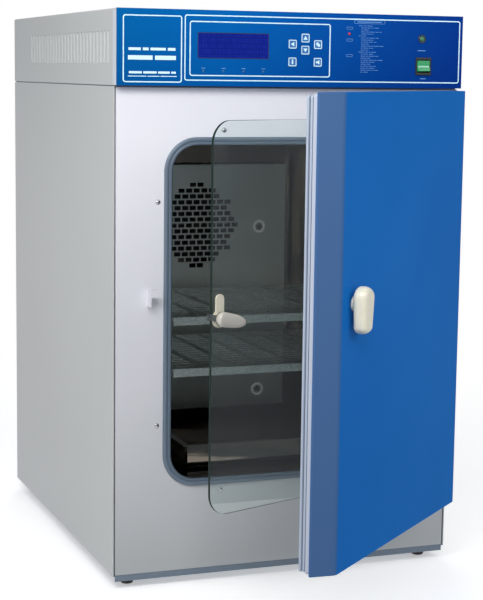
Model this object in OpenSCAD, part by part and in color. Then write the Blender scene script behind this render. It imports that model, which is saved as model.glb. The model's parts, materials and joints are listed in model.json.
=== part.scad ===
// Laboratory incubator with an outer door, an inner glass door and a control box on top.
// Frame: +X to the right, +Y to the back, +Z up; origin on the floor, midway between the four feet.
// Parts are drawn from the cabinet's front left corner: x from the left side, y from the front panel.

/* [Cabinet] */
// Width over the side panels
body_w = 720; // [700:5:760]
// Depth from the front panel to the rear panel
body_d = 842; // [820:2:900]
// Height of the side panels' lower edge
side_z = 26; // [22:1:34]
// Height of the seam below the control box
seam_z = 977; // [975:1:985]
// Height of the top
top_z = 1122; // [1110:1:1140]
// Thickness of the cabinet's sheet steel
sheet = 1.5; // [1:0.1:1.8]
// Distance of each foot from the cabinet's edges
foot_inset = 40; // [36:1:60]

/* [Chamber] */
// Inner width of the chamber
cham_w = 508; // [500:2:512]
// Inner depth of the chamber
cham_d = 540; // [530:1:550]
// Inner height of the chamber
cham_h = 672; // [660:2:680]
// Height of the chamber's floor
cham_z = 204; // [200:1:210]
// Radius of the chamber's rounded corners
cham_r = 60; // [40:1:70]
// Heights of the two shelves' top faces
shelf_z = [527, 424]; // [300:1:700]
// How far a shelf or the pan slides out
slide_out = 40; // [10:1:44]

/* [Control box] */
// How far the fascia stands in front of the front panel
proud = 18; // [14:1:22]
// Number of louvres in each side
louvres = 26; // [10:1:28]

/* [Outer door] */
// Gap between the door and the cabinet's edge
reveal = 37.7; // [34:0.1:40]
// Lower edge of the door
door_z0 = 144; // [140:1:150]
// Upper edge of the door
door_z1 = 975; // [960:1:975]
// Depth of the bevel on the door's upright edges
bevel = 33.2; // [20:0.1:34]
// Angle the door stands open
door_angle = 42; // [20:1:60]

/* [Glass door] */
// Left edge of the pane
glass_x0 = 89; // [86:1:92]
// Right edge of the pane
glass_x1 = 626; // [622:1:626]
// Lower edge of the pane
glass_z0 = 190; // [186:1:194]
// Upper edge of the pane
glass_z1 = 920; // [890:1:925]
// Angle the glass door stands open
glass_angle = 21; // [5:1:30]
// Angle of the latch lever below level
latch_angle = 11; // [0:1:60]

/* [Hidden] */
$fn = 48;

mid_x = body_w / 2;
mid_z = cham_z + cham_h / 2;
liner = 1.2;                 // stainless sheet
seal_w = 16;                 // width of the chamber seal
seal_over = 10;              // how far the seal covers the chamber's mouth
seal_t = 6;                  // how far the seal stands proud
plate_t = 3;                 // base plate
post = 30;                   // leg of a corner post
groove = 4.5;                // panel edge to cabinet side
panel_z0 = side_z + plate_t;
panel_z1 = seam_z - sheet;
jacket_gap = 40;
jacket_d = 584;
slab_d = 640;
bulk_y = slab_d;
fan_x = 336;
fan_z = 664;
fan_r = 82;
shaft_r = 5;
stud_r = 5;                  // foot's threaded stud
duct_y = 498;
duct_x0 = 172;
duct_x1 = 548;
duct_z0 = 245;
duct_z1 = 800;
port_x = 485;
port_z = [659, 282];
shelf_w = 484;
shelf_y0 = 42;
shelf_y1 = 470;
fit_gap = 0.3;               // clearance between parts that move past each other
run_gap = 0.05;              // radial clearance of a pin in its bore
hinge_x = 704.5;             // outer door's pin
hinge_y = -11;
hinge_z = [230, 890];
knuckle_r = 6.5;
knuckle_h = 60;
glass_t = 6;
glass_y = -9.3;              // middle of the pane
pivot_x = 634;               // glass door's pin
pivot_z = [270, 840];
clamp_h = 40;
latch_x = 106;
latch_z = 560;
door_back = -0.4;            // gasket's rear face
trim_y = -25.2;
side_y = -22.4;              // rear edge of the door skin
front_y = side_y - 4 - bevel;
fascia_t = 2;
key_half = 8.8;
key_row = 1061;
lamp_z = 1007.3;
switch_at = [633.6, 1022];
board_y = -10.5;

// ---- frames -------------------------------------------------------------------------------------

// Moves from the cabinet's front left corner to the part's origin.
module corner() {
    translate([-body_w / 2, -body_d / 2, 0]) children();
}

// Turns children about an upright line at x, y.
module about(x, y, angle) {
    translate([x, y, 0]) rotate([0, 0, angle]) translate([-x, -y, 0]) children();
}

module on_door() {
    corner() about(hinge_x, hinge_y, door_angle) children();
}

module on_glass() {
    corner() about(pivot_x, glass_y, glass_angle) children();
}

module on_latch() {
    on_glass() translate([latch_x, 0, latch_z]) rotate([0, latch_angle, 0])
        translate([-latch_x, 0, -latch_z]) children();
}

// ---- shapes -------------------------------------------------------------------------------------

module block(a, b) {
    translate(a) cube([b[0] - a[0], b[1] - a[1], b[2] - a[2]]);
}

// Extrudes an x, z outline from y0 back to y1.
module along_y(y0, y1) {
    translate([0, y1, 0]) rotate([90, 0, 0]) linear_extrude(y1 - y0) children();
}

// Extrudes a y, z outline from x0 to x1.
module along_x(x0, x1) {
    translate([x0, 0, 0]) rotate([90, 0, 90]) linear_extrude(x1 - x0) children();
}

// Rod from y0 to y1 at x, z.
module rod_y(x, z, r, y0, y1) {
    translate([x, y1, z]) rotate([90, 0, 0]) cylinder(r = r, h = y1 - y0);
}

// Rounded rectangle about the chamber's middle.
module mouth(w, h, r) {
    translate([mid_x, mid_z]) union() {
        square([w - 2 * r, h], center = true);
        square([w, h - 2 * r], center = true);
        for (i = [-1, 1], j = [-1, 1]) translate([i * (w / 2 - r), j * (h / 2 - r)]) circle(r);
    }
}

module ring_y(w, h, r, t, y0, y1) {
    along_y(y0, y1) difference() {
        mouth(w, h, r);
        mouth(w - 2 * t, h - 2 * t, r - t);
    }
}

// Upright rectangular frame between outer x0..x1, z0..z1, of width t.
module frame_y(x0, x1, z0, z1, t, y0, y1) {
    difference() {
        block([x0, y0, z0], [x1, y1, z1]);
        block([x0 + t, y0 - 1, z0 + t], [x1 - t, y1 + 1, z1 - t]);
    }
}

function foot_places() = [for (x = [foot_inset, body_w - foot_inset],
    y = [foot_inset, body_d - foot_inset]) [x, y]];
function screw_places() = [for (i = [-1, 1], j = [-1, 1]) [mid_x + i * 272, mid_z + j * 218],
    for (i = [-1, 1], j = [-1, 1]) [mid_x + i * 141, mid_z + j * 355]];

// ---- cabinet ------------------------------------------------------------------------------------

module feet() {
    color("black") corner() for (p = foot_places()) translate([p[0], p[1], 0]) {
        rotate_extrude() polygon([[0, 0], [13, 0], [13, 14], [11, 16], [8, 17], [8, side_z],
            [0, side_z]]);
        cylinder(r = stud_r, h = 40);
    }
}

module base_frame() {
    color("slategray") corner() difference() {
        union() {
            block([sheet, 1, side_z], [body_w - sheet, body_d - sheet, panel_z0]);
            block([groove, 1, 16], [body_w - groove, 2.5, side_z]);
            for (p = foot_places()) translate([p[0], p[1], side_z]) cylinder(r = 16, h = 16);
            for (i = [0, 1], j = [0, 1]) corner_post(i, j);
        }
        for (p = foot_places()) translate([p[0], p[1], 0]) cylinder(r = stud_r + run_gap, h = 60);
    }
}

// L-shaped post inside a corner of the body; i picks the right side, j the rear.
module corner_post(i, j) {
    x0 = i == 0 ? sheet : body_w - sheet - post;
    y0 = j == 0 ? 8 : body_d - sheet - post;
    xs = i == 0 ? sheet : body_w - sheet - 3;
    ys = j == 0 ? 8 : body_d - sheet - 3;
    block([x0, ys, panel_z0], [x0 + post, ys + 3, panel_z1]);
    block([xs, y0, panel_z0], [xs + 3, y0 + post, panel_z1]);
}

module left_side_panel() {
    color("gainsboro") corner() block([0, 0, side_z], [sheet, body_d, seam_z]);
}

module right_side_panel() {
    color("gainsboro") corner() block([body_w - sheet, 0, side_z], [body_w, body_d, seam_z]);
}

module rear_panel() {
    color("gainsboro") corner() difference() {
        block([sheet, body_d - sheet, side_z], [body_w - sheet, body_d, seam_z]);
        for (i = [0:9], j = [0:1])
            translate([200 + 80 * j + (j == 1 ? 160 : 0), body_d - 5, 420 + 22 * i])
                cube([80, 10, 7]);
        rod_y(600, 185, 8.2, body_d - 5, body_d + 5);
        rod_y(120, 800, 6.2, body_d - 5, body_d + 5);
    }
}

module front_panel() {
    color("white") corner() difference() {
        union() {
            block([groove, 0, panel_z0], [body_w - groove, sheet, panel_z1]);
            frame_y(groove, body_w - groove, panel_z0, panel_z1, sheet, sheet, 8);
        }
        along_y(-1, 9) mouth(cham_w, cham_h, cham_r);
        for (p = screw_places()) rod_y(p[0], p[1], 2.1, -1, 3);
    }
}

module panel_screws() {
    color("dimgray") corner() for (p = screw_places()) {
        rod_y(p[0], p[1], 5, -2.5, 0);
        rod_y(p[0], p[1], 2, 0, 8);
    }
}

module body_top_plate() {
    color("slategray") corner() {
        block([sheet, 0, panel_z1], [body_w - sheet, body_d - sheet, seam_z]);
        difference() {
            block([2.5, 2.5, seam_z], [body_w - 2.5, body_d - 4, seam_z + 2.5]);
            block([6, 6, seam_z - 1], [body_w - 6, body_d - 8, seam_z + 5]);
        }
    }
}

// Plate behind the insulation that carries the fan motor on four stand-offs.
module rear_bulkhead() {
    color("silver") corner() difference() {
        union() {
            block([groove, bulk_y, panel_z0], [body_w - groove, bulk_y + sheet, panel_z1]);
            for (a = [45:90:315])
                rod_y(fan_x + 32 * cos(a), fan_z + 32 * sin(a), 4, bulk_y + sheet, 660);
        }
        rod_y(fan_x, fan_z, 18, bulk_y - 1, bulk_y + 4);
        rod_y(600, 185, 8.2, bulk_y - 1, bulk_y + 4);
    }
}

// ---- chamber ------------------------------------------------------------------------------------

module chamber() {
    color("lightsteelblue") corner() difference() {
        union() {
            ring_y(cham_w + 2 * liner, cham_h + 2 * liner, cham_r + liner, liner, sheet, cham_d);
            ring_y(cham_w + 28, cham_h + 28, cham_r + 14, 14, sheet, 3);
            along_y(cham_d, cham_d + liner) mouth(cham_w + 2 * liner, cham_h + 2 * liner, cham_r + liner);
        }
        rod_y(fan_x, fan_z, 9, cham_d - 1, cham_d + 3);
    }
}

module chamber_seal() {
    clear_w = cham_w - 2 * seal_over;
    clear_h = cham_h - 2 * seal_over;
    color("steelblue") corner() {
        ring_y(clear_w + 2 * seal_w, clear_h + 2 * seal_w, cham_r + 6, seal_w, -seal_t, 0);
        ring_y(cham_w - 0.6, cham_h - 0.6, cham_r - 0.3, 2.2, 0, 12);
    }
}

module water_jacket() {
    w = cham_w + 2 * (jacket_gap + 2);
    h = cham_h + 2 * (jacket_gap + 2);
    inner_w = cham_w + 2 * liner;
    inner_h = cham_h + 2 * liner;
    color("silver") corner() difference() {
        union() {
            ring_y(w, h, cham_r + 20, sheet, 20, jacket_d);
            along_y(18.5, 20) difference() {
                mouth(w, h, cham_r + 20);
                mouth(inner_w, inner_h, cham_r + liner);
            }
            along_y(jacket_d, jacket_d + sheet) mouth(w, h, cham_r + 20);
            rod_y(fan_x, fan_z, 14, cham_d + liner, jacket_d);
        }
        rod_y(fan_x, fan_z, 10, cham_d, jacket_d + 5);
        rod_y(600, 185, 6, jacket_d - 5, jacket_d + 5);
    }
}

// U-shaped heater in the water below the chamber.
module heater_tube() {
    z = cham_z - 21;
    bend = 60;
    y_bend = 92;
    color("darkgray") corner() {
        for (i = [-1, 1]) rod_y(mid_x + i * bend, z, 5, y_bend, jacket_d);
        translate([mid_x, y_bend, z]) rotate([0, 0, 180]) rotate_extrude(angle = 180)
            translate([bend, 0]) circle(5);
    }
}

module insulation() {
    w = cham_w + 2 * (jacket_gap + 2) + 0.6;
    h = cham_h + 2 * (jacket_gap + 2) + 0.6;
    color("khaki") corner() difference() {
        block([34, 22, side_z + 18], [body_w - 34, slab_d, 972]);
        along_y(21, jacket_d + 2) mouth(w, h, cham_r + 20.3);
        rod_y(fan_x, fan_z, 16, jacket_d, slab_d + 1);
        rod_y(600, 185, 8.3, jacket_d, slab_d + 1);
    }
}

// Staggered rows of slots inside a circle.
module grille_slots(r) {
    size = [14.5, 9.5];
    pitch = [18, 13];
    for (row = [-7:7]) {
        half = sqrt(max(0, r * r - pow(abs(row) * pitch[1] + size[1] / 2, 2)));
        shift = (row % 2 == 0) ? 0 : pitch[0] / 2;
        for (col = [-6:6]) {
            x = col * pitch[0] + shift;
            if (abs(x) + size[0] / 2 < half)
                translate([fan_x + x - size[0] / 2, fan_z + row * pitch[1] - size[1] / 2]) square(size);
        }
    }
}

module duct_panel() {
    color("silver") corner() difference() {
        block([duct_x0, duct_y, duct_z0], [duct_x1, cham_d, duct_z1]);
        block([duct_x0 + liner, duct_y + liner, duct_z0 - 1], [duct_x1 - liner, cham_d + 1, duct_z1 - liner]);
        along_y(duct_y - 1, duct_y + 3) grille_slots(98);
        for (z = port_z) rod_y(port_x, z, 11, duct_y - 1, duct_y + 3);
    }
}

module sensor_ports() {
    color("dimgray") corner() for (z = port_z) difference() {
        union() {
            rod_y(port_x, z, 15, duct_y - 3, duct_y);
            rod_y(port_x, z, 10.8, duct_y, cham_d);
        }
        for (a = [0:60:300]) rod_y(port_x + 7 * cos(a), z + 7 * sin(a), 1.8, duct_y - 4, duct_y + 8);
        rod_y(port_x, z, 2.5, duct_y - 4, duct_y + 8);
    }
}

// Uprights and shelf runners on the left wall, drawn from the chamber's middle.
module rack() {
    translate([-cham_w / 2, 0, 0]) {
        for (y = [80, 430]) difference() {
            block([0, y, 268], [6, y + 18, 812]);
            for (z = [290:40:790]) block([-1, y + 5, z], [7, y + 13, z + 6]);
        }
        for (z = shelf_z) {
            block([6, 70, z - 3.3], [26, 455, z - 1.5 - fit_gap]);
            block([6, 70, z - 17], [7.5, 455, z - 3.3]);
        }
    }
}

module shelf_racks() {
    color("silver") corner() translate([mid_x, 0, 0]) {
        rack();
        mirror([1, 0, 0]) rack();
    }
}

// Perforated shelf with its front and rear edges folded down.
module shelf(z) {
    x0 = mid_x - shelf_w / 2;
    x1 = mid_x + shelf_w / 2;
    color("silver") corner() {
        difference() {
            block([x0, shelf_y0, z - 1.5], [x1, shelf_y1, z]);
            for (i = [0:6], j = [0:14])
                translate([x0 + 26 + i * 64, shelf_y0 + 26 + j * 26, z - 3]) cube([48, 12, 6]);
        }
        for (y = [shelf_y0, shelf_y1 - 1.2]) block([x0 + 17, y, z - 16], [x1 - 17, y + 1.2, z - 1.5]);
    }
}

module upper_shelf() {
    shelf(shelf_z[0]);
}

module lower_shelf() {
    shelf(shelf_z[1]);
}

module water_pan() {
    z0 = cham_z + fit_gap;
    color("silver") corner() difference() {
        union() {
            block([172, 60, z0], [548, 400, z0 + 62]);
            block([160, 52, z0 + 60], [560, 408, z0 + 62]);
        }
        block([172 + liner, 60 + liner, z0 + liner], [548 - liner, 400 - liner, z0 + 80]);
    }
}

module fan_motor() {
    color("gray") corner() difference() {
        union() {
            rod_y(fan_x, fan_z, 42, 660, 728);
            rod_y(fan_x, fan_z, 14, 650, 660);
        }
        rod_y(fan_x, fan_z, shaft_r + run_gap, 649, 690);
    }
}

// Wheel of flat blades in front of a disc, on its long shaft.
module fan_impeller() {
    color("silver") corner() {
        rod_y(fan_x, fan_z, 14, 506, 532);
        rod_y(fan_x, fan_z, fan_r, 530, 532);
        for (a = [0:36:324]) translate([fan_x, 0, fan_z]) rotate([0, a, 0])
            block([12, 508, -0.8], [fan_r - 2, 531, 0.8]);
        rod_y(fan_x, fan_z, shaft_r, 531, 688);
    }
}

// ---- control box --------------------------------------------------------------------------------

module louvre_slots() {
    pitch = (body_d - 217) / (louvres - 1);
    for (i = [0:louvres - 1]) translate([34 + i * pitch, 1020]) square([12, 61]);
}

module control_shell() {
    y0 = -proud + fascia_t;
    z0 = seam_z + 2;
    color("gainsboro") corner() difference() {
        union() {
            block([0, y0, top_z - sheet], [body_w, body_d, top_z]);
            for (x = [0, body_w - sheet]) block([x, y0, z0], [x + sheet, body_d - sheet, top_z - sheet]);
            for (x = [sheet, body_w - 14]) block([x, 8, z0 + 0.5], [x + 12.5, body_d - sheet, z0 + 2]);
        }
        along_x(-1, body_w + 1) louvre_slots();
    }
}

module control_rear_panel() {
    color("gainsboro") corner() difference() {
        block([0, body_d - sheet, seam_z + 2], [body_w, body_d, top_z - sheet]);
        block([586, body_d - 5, 1016], [634, body_d + 5, 1044]);
        for (i = [0:7]) block([120 + 30 * i, body_d - 5, 1020], [132 + 30 * i, body_d + 5, 1080]);
    }
}

// Cut-outs for the keys, lamps, display and switch.
function key_at(i) = [[352.5, key_row], [405.5, key_row], [379, key_row + 12], [379, key_row - 11],
    [352.5, 1027], [405.5, 1027]][i];

module fascia() {
    y0 = -proud - 1;
    y1 = -proud + fascia_t + 1;
    color("royalblue") corner() difference() {
        union() {
            block([0, -proud, seam_z + 2], [body_w, -proud + fascia_t, top_z]);
            block([sheet + fit_gap, -proud, seam_z + 2], [body_w - sheet - fit_gap, 2.2, seam_z + 3.5]);
        }
        block([159, y0, 1031], [304, y1, 1080]);
        for (i = [0:5]) key_space(i, key_half + fit_gap, y0, y1);
        for (i = [0:3]) rod_y(171 + 40.6 * i, lamp_z, 2.6, y0, y1);
        rod_y(472, 1083, 3.1, y0, y1);
        rod_y(629.7, 1076, 8.1, y0, y1);
        block([switch_at[0] - 15.8, y0, switch_at[1] - 16.5], [switch_at[0] + 15.8, y1, switch_at[1] + 16.5]);
    }
}

module key_space(i, half, y0, y1) {
    p = key_at(i);
    block([p[0] - half, y0, p[1] - half], [p[0] + half, y1, p[1] + half]);
}

module display_window() {
    color("navy", 0.6) corner() block([159.2, -proud + 0.4, 1031.2], [303.8, -proud + fascia_t, 1079.8]);
}

module display_module() {
    color("darkgreen") corner() block([152, -proud + fascia_t, 1024], [312, -4, 1088]);
}

module keypad_board() {
    color("green") corner() {
        block([335, board_y, 1010], [425, board_y + 1.5, 1090]);
        for (i = [0:5]) key_space(i, 3, board_y - 1.5, board_y);
        for (x = [338.5, 421.5], z = [1013.5, 1086.5]) rod_y(x, z, 3, -proud + fascia_t, board_y);
    }
}

module key(i) {
    color("cornflowerblue") corner() {
        key_space(i, key_half, -proud - 1, -proud + fascia_t + fit_gap);
        key_space(i, key_half + 1.2, -proud + fascia_t + fit_gap, -13);
    }
}

module key_left() {
    key(0);
}

module key_right() {
    key(1);
}

module key_up() {
    key(2);
}

module key_down() {
    key(3);
}

module key_set() {
    key(4);
}

module key_mute() {
    key(5);
}

module status_lamps() {
    color("lime") corner() for (i = [0:3]) rod_y(171 + 40.6 * i, lamp_z, 2.5, -proud - 0.8, -12);
}

module alarm_lamp() {
    color("red") corner() rod_y(472, 1083, 3, -proud - 1.2, -12);
}

module power_lamp() {
    color("green") corner() {
        rod_y(629.7, 1076, 8, -proud - 2, -12);
        rod_y(629.7, 1076, 6.5, -proud - 4, -proud - 2);
    }
}

module switch_bezel() {
    color("black") corner() translate([switch_at[0], 0, switch_at[1]]) difference() {
        union() {
            block([-17, -proud - 2, -17.5], [17, -proud, 17.5]);
            block([-15.5, -proud, -16.2], [15.5, 0, 16.2]);
        }
        block([-13.8, -proud - 3, -12.8], [13.8, -2, 12.8]);
    }
}

// Rocker that turns about a level line in the bezel; its sides are round about that line.
module power_rocker() {
    tilt = 8;
    pivot_y = -14;
    color("limegreen") corner() translate([switch_at[0], pivot_y, switch_at[1]]) rotate([-tilt, 0, 0])
        intersection() {
            translate([-13.5, 0, 0]) rotate([0, 90, 0]) cylinder(r = 12.4, h = 27);
            along_x(-14, 14) polygon([[6, -13], [-9, -13], [-6, 0], [-9, 13], [6, 13]]);
        }
}

module main_board() {
    z = seam_z + 12;
    color("green") corner() {
        block([250, 120, z], [480, 300, z + 1.6]);
        for (x = [256, 474], y = [126, 294]) translate([x, y, seam_z]) cylinder(r = 3.5, h = 12);
        block([280, 150, z + 1.6], [320, 190, z + 5]);
        block([360, 160, z + 1.6], [440, 185, z + 18]);
        for (i = [0:3]) translate([290 + 36 * i, 260, z + 1.6]) cylinder(r = 8, h = 22);
    }
}

module transformer() {
    color("dimgray") corner() {
        block([560, 200, seam_z], [650, 275, seam_z + 70]);
        block([570, 185, seam_z + 12], [640, 200, seam_z + 58]);
        block([570, 275, seam_z + 12], [640, 290, seam_z + 58]);
    }
}

// Socket for a mains plug: a hollow body with three flat pins.
module mains_inlet() {
    color("black") corner() {
        difference() {
            union() {
                block([580, body_d, 1010], [640, body_d + 2.5, 1050]);
                block([586.2, 815, 1016.2], [633.8, body_d, 1043.8]);
            }
            block([597, 821, 1020], [623, body_d + 5, 1040]);
        }
        for (x = [602, 609, 616]) block([x, 821, 1033], [x + 2, body_d - 2, 1037]);
    }
}

module gas_inlet() {
    color("gold") corner() {
        rod_y(120, 800, 10, body_d, body_d + 6);
        rod_y(120, 800, 4, body_d + 6, body_d + 30);
        rod_y(120, 800, 6, body_d - 20, body_d);
        rod_y(120, 800, 10, body_d - 7.5, body_d - 1.5);
    }
}

// Drain from the water jacket, with a quarter-turn tap at the back.
module drain_tap() {
    y0 = body_d;
    color("gold") corner() difference() {
        union() {
            rod_y(600, 185, 8, jacket_d + sheet, y0);
            rod_y(600, 185, 12, y0, y0 + 36);
            rod_y(600, 185, 5, y0 + 36, y0 + 56);
            translate([600, y0 + 18, 185]) cylinder(r = 9, h = 20);
        }
        translate([600, y0 + 18, 190]) cylinder(r = 4 + run_gap, h = 30);
        rod_y(600, 185, 3, y0 + 36, y0 + 60);
    }
}

module drain_handle() {
    color("red") corner() translate([600, body_d + 18, 0]) {
        translate([0, 0, 190.3]) cylinder(r = 4, h = 20);
        translate([0, 0, 205 + fit_gap]) cylinder(r = 9, h = 6);
        block([0, -5, 205 + fit_gap], [52, 5, 211 + fit_gap]);
    }
}

// ---- hinges -------------------------------------------------------------------------------------

// Knuckles of one hinge about x, y, between offsets along z.
module knuckle(x, y, r, pin_r, z0, z1) {
    translate([x, y, z0]) difference() {
        cylinder(r = r, h = z1 - z0);
        translate([0, 0, -1]) cylinder(r = pin_r + run_gap, h = z1 - z0 + 2);
    }
}

// Cabinet's leaf of an outer door hinge: two knuckles standing on a plate.
module cabinet_leaf(z) {
    h = knuckle_h / 2;
    block([688, -2.5, z - h], [715, 0, z + h]);
    for (span = [[-h, -h / 3 - fit_gap], [h / 3 + fit_gap, h]]) difference() {
        union() {
            translate([hinge_x, hinge_y, z + span[0]]) cylinder(r = knuckle_r, h = span[1] - span[0]);
            block([hinge_x + 1, hinge_y, z + span[0]], [hinge_x + knuckle_r, -2.5, z + span[1]]);
        }
        translate([hinge_x, hinge_y, z - h - 1]) cylinder(r = 3, h = knuckle_h + 2);
    }
}

// Cabinet's bracket of a glass door hinge.
module glass_bracket(z) {
    h = clamp_h / 2;
    block([628, -2, z - h], [654, 0, z + h]);
    for (span = [[-h, -8 - fit_gap], [8 + fit_gap, h]]) difference() {
        union() {
            translate([pivot_x, glass_y, z + span[0]]) cylinder(r = 5, h = span[1] - span[0]);
            block([pivot_x + 1, glass_y, z + span[0]], [pivot_x + 5, -2, z + span[1]]);
        }
        translate([pivot_x, glass_y, z - h - 1]) cylinder(r = 2, h = clamp_h + 2);
    }
}

module hinge_leaves() {
    color("silver") corner() {
        for (z = hinge_z) cabinet_leaf(z);
        for (z = pivot_z) glass_bracket(z);
    }
}

module hinge_pins() {
    color("silver") corner() {
        for (z = hinge_z) translate([hinge_x, hinge_y, z - knuckle_h / 2]) {
            cylinder(r = 3, h = knuckle_h + 2);
            translate([0, 0, knuckle_h]) cylinder(r = 5, h = 2);
        }
        for (z = pivot_z) translate([pivot_x, glass_y, z - clamp_h / 2]) {
            cylinder(r = 2, h = clamp_h + 1.5);
            translate([0, 0, clamp_h]) cylinder(r = 3.5, h = 1.5);
        }
    }
}

// Hook on the front panel; the latch cam turns up behind its lip.
module latch_keeper() {
    color("white") corner() {
        block([68, -2, latch_z - 2], [86, 0, latch_z + 32]);
        block([68, -21.6, latch_z - 2], [70.2, -2, latch_z + 32]);
        block([70.2, -21.6, latch_z + 17], [86, -19.4, latch_z + 30]);
    }
}

// ---- glass door ---------------------------------------------------------------------------------

module glass_pane() {
    r = 42;
    color("lightgreen", 0.35) on_glass() difference() {
        along_y(glass_y - glass_t / 2, glass_y + glass_t / 2)
            translate([glass_x0, glass_z0]) {
                translate([r, 0]) square([glass_x1 - glass_x0 - r, glass_z1 - glass_z0]);
                translate([0, r]) square([r, glass_z1 - glass_z0 - 2 * r]);
                for (z = [r, glass_z1 - glass_z0 - r]) translate([r, z]) circle(r);
            }
        rod_y(latch_x, latch_z, 4 + run_gap, -20, 0);
    }
}

module glass_clamps() {
    front = glass_y - glass_t / 2;
    h = clamp_h / 2;
    color("silver") on_glass() for (z = pivot_z) difference() {
        union() {
            block([600, front - 2, z - h], [630, front, z + h]);
            block([glass_x1, front, z - h], [630, -7, z + h]);
            block([628, front, z - 8], [pivot_x, -7.6, z + 8]);
            translate([pivot_x, glass_y, z - 8]) cylinder(r = 5, h = 16);
        }
        translate([pivot_x, glass_y, z - 30]) cylinder(r = 2 + run_gap, h = 60);
        for (i = [-1, 1]) translate([pivot_x - 6, glass_y - 6, i < 0 ? z - h - 1 : z + 8])
            cube([12, 12, h - 8 + 1]);
    }
}

// Round rose under the lever with a short back plate above it.
module latch_rosette() {
    face = glass_y - glass_t / 2;
    color("ivory") on_glass() difference() {
        union() {
            rod_y(latch_x, latch_z, 17, -17, face);
            block([latch_x - 10, -16, latch_z], [latch_x + 10, face, latch_z + 36]);
            rod_y(latch_x, latch_z + 36, 10, -16, face);
        }
        rod_y(latch_x, latch_z, 4 + run_gap, -20, 0);
    }
}

// Steel tongue whose tail turns behind the keeper's lip.
module latch_cam() {
    color("silver") on_latch() difference() {
        union() {
            rod_y(latch_x, latch_z, 13, -19, -17.3);
            block([latch_x - 33.5, -19, latch_z - 6], [latch_x, -17.3, latch_z + 6]);
        }
        rod_y(latch_x, latch_z, 4, -25, 0);
    }
}

module latch_lever() {
    color("ivory") on_latch() {
        hull() {
            rod_y(latch_x, latch_z, 14, -32, -19);
            rod_y(latch_x + 44, latch_z, 10, -33, -22);
        }
        rod_y(latch_x, latch_z, 4, -19, glass_y + glass_t / 2);
    }
}

// ---- outer door ---------------------------------------------------------------------------------

// Plan of the door, inset by t, from its front to the line y = back.
function door_plan(t, back) = [
    [reveal + t, back],
    [reveal + t, side_y - 4 + 0.414 * t],
    [reveal + bevel + 0.414 * t, front_y + t],
    [body_w - reveal - bevel - 0.414 * t, front_y + t],
    [body_w - reveal - t, side_y - 4 + 0.414 * t],
    [body_w - reveal - t, back]];

pocket = [[66, 478], [186, 602]];   // x, z corners of the recess for the latch
pocket_y = -46.2;

module door_skin() {
    color("royalblue") on_door() difference() {
        translate([0, 0, door_z0]) linear_extrude(door_z1 - door_z0) polygon(door_plan(0, side_y));
        translate([0, 0, door_z0 + liner]) linear_extrude(door_z1 - door_z0 - 2 * liner)
            polygon(door_plan(liner, side_y + 1));
    }
}

module door_foam() {
    color("khaki") on_door() difference() {
        translate([0, 0, door_z0 + liner]) linear_extrude(door_z1 - door_z0 - 2 * liner)
            polygon(door_plan(liner, side_y));
        block([0, trim_y - liner, 0], [body_w, 10, top_z]);
        block([pocket[0][0], pocket_y, pocket[0][1]], [pocket[1][0], 0, pocket[1][1]]);
    }
}

module door_liner() {
    x0 = reveal + liner + 3 * fit_gap;
    a = pocket[0];
    b = pocket[1];
    color("whitesmoke") on_door() difference() {
        union() {
            block([x0, trim_y - liner, door_z0 + 1.5], [body_w - x0, trim_y, door_z1 - 1.5]);
            block([a[0], pocket_y, a[1]], [b[0], trim_y, b[1]]);
        }
        block([a[0] + liner, pocket_y + liner, a[1] + liner], [b[0] - liner, 10, b[1] - liner]);
    }
}

module door_trim() {
    x0 = reveal + 3.3;
    color("white") on_door() {
        frame_y(x0, body_w - x0, door_z0 + 3, door_z1 - 3, 21, trim_y, -14);
        frame_y(x0 + 3, body_w - x0 - 3, door_z0 + 6, door_z1 - 6, 17, -14, -12);
    }
}

module door_gasket() {
    x0 = reveal + 5.3;
    color("lavender") on_door() {
        frame_y(x0, body_w - x0, door_z0 + 5, door_z1 - 5, 18, -12, -7.5);
        frame_y(x0 + 3, body_w - x0 - 3, door_z0 + 8, door_z1 - 8, 12, -7.5, -5.5);
        frame_y(x0, body_w - x0, door_z0 + 5, door_z1 - 5, 18, -5.5, door_back);
    }
}

// Door's leaf of a hinge: a plate on the trim's edge and the middle knuckle.
module door_leaf(z) {
    h = knuckle_h / 6 - fit_gap;
    edge = body_w - reveal - 3.3;
    difference() {
        union() {
            block([edge, -22, z - 30], [edge + 2.5, -14.5, z + 30]);
            block([edge + 2.5, -17.5, z - h], [hinge_x, -14.5, z + h]);
            translate([hinge_x, hinge_y, z - h]) cylinder(r = knuckle_r, h = 2 * h);
        }
        translate([hinge_x, hinge_y, z - 40]) cylinder(r = 3 + run_gap, h = 80);
    }
}

module door_leaves() {
    color("silver") on_door() for (z = hinge_z) door_leaf(z);
}

// Drop-shaped pull on a short neck.
module door_handle() {
    x = 123;
    color("ivory") on_door() {
        rod_y(x, 614, 16, front_y - 6, front_y);
        hull() {
            rod_y(x, 621, 24, front_y - 34, front_y - 5);
            rod_y(x, 577, 15, front_y - 31.4, front_y - 6);
        }
    }
}

// ---- node selection -----------------------------------------------------------------------------

feet();
base_frame();
left_side_panel();
right_side_panel();
rear_panel();
front_panel();
panel_screws();
body_top_plate();
rear_bulkhead();
chamber();
chamber_seal();
water_jacket();
heater_tube();
insulation();
duct_panel();
sensor_ports();
shelf_racks();
upper_shelf();
lower_shelf();
water_pan();
fan_motor();
fan_impeller();
control_shell();
control_rear_panel();
fascia();
display_window();
display_module();
keypad_board();
key_left();
key_right();
key_up();
key_down();
key_set();
key_mute();
status_lamps();
alarm_lamp();
power_lamp();
switch_bezel();
power_rocker();
main_board();
transformer();
mains_inlet();
gas_inlet();
drain_tap();
drain_handle();
hinge_leaves();
hinge_pins();
latch_keeper();
glass_pane();
glass_clamps();
latch_rosette();
latch_cam();
latch_lever();
door_skin();
door_foam();
door_liner();
door_trim();
door_gasket();
door_leaves();
door_handle();
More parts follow.
